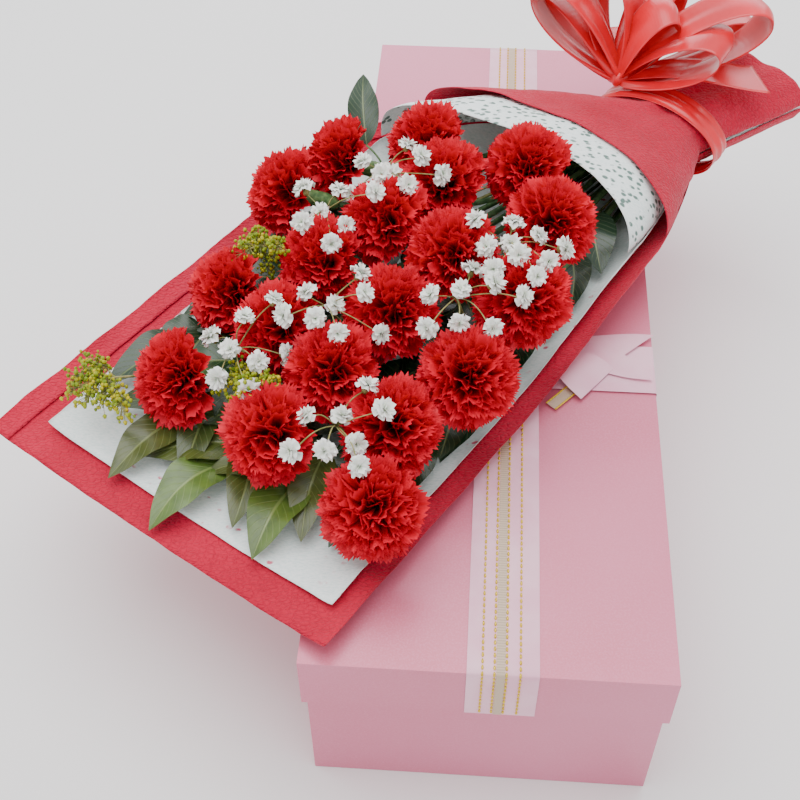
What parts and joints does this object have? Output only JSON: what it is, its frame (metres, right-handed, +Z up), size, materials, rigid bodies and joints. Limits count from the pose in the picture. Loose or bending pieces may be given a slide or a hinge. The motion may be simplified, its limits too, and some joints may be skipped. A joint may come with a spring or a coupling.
{
  "type": "wrapped carnation bouquet on a gift box",
  "caption": "Long lidded gift box tied with ribbon, with a paper-wrapped carnation bouquet and its satin bow lying diagonally across the lid.",
  "frame": {"origin": "centre of the box's flat underside", "axes": "+Y along the box's length towards its far end, +X to its right side, +Z up"},
  "size_m": [0.5748, 0.6396, 0.2815],
  "materials": {
    "box_card": "pearlescent pink coated card",
    "box_ribbon": "sheer pale pink ribbon with gold edge stitching",
    "red_paper": "matte raspberry-red crepe wrapping paper",
    "white_paper": "lacy white fibre paper",
    "twine": "plain jute twine",
    "satin": "glossy coral-red satin",
    "petal": "soft velvety red petals on green stems",
    "floret": "white double florets on thin green stems",
    "bud": "yellow-green buds on thin stems",
    "leaf": "glossy dark green leaves"
  },
  "bodies": {
    "root": {"box_base": "box_card", "box_lid": "box_card", "lid_ribbon_long": "box_ribbon", "lid_ribbon_cross": "box_ribbon", "lid_bow": "box_ribbon", "red_back_sheet": "red_paper", "red_collar": "red_paper", "white_back_sheet": "white_paper", "white_collar": "white_paper", "stem_tie": "twine", "satin_band": "satin", "satin_bow": "satin", "carnation_01": "petal", "carnation_02": "petal", "carnation_03": "petal", "carnation_04": "petal", "carnation_05": "petal", "carnation_06": "petal", "carnation_07": "petal", "carnation_08": "petal", "carnation_09": "petal", "carnation_10": "petal", "carnation_11": "petal", "carnation_12": "petal", "carnation_13": "petal", "carnation_14": "petal", "carnation_15": "petal", "carnation_16": "petal", "carnation_17": "petal", "carnation_18": "petal", "carnation_19": "petal", "babys_breath_01": "floret", "babys_breath_02": "floret", "babys_breath_03": "floret", "babys_breath_04": "floret", "babys_breath_05": "floret", "babys_breath_06": "floret", "babys_breath_07": "floret", "goldenrod_01": "bud", "goldenrod_02": "bud", "goldenrod_03": "bud", "leafy_twig_01": "leaf", "leafy_twig_02": "leaf", "leafy_twig_03": "leaf", "leafy_twig_04": "leaf", "leafy_twig_05": "leaf", "leafy_twig_06": "leaf", "leafy_twig_07": "leaf"}
  },
  "joints": []
}
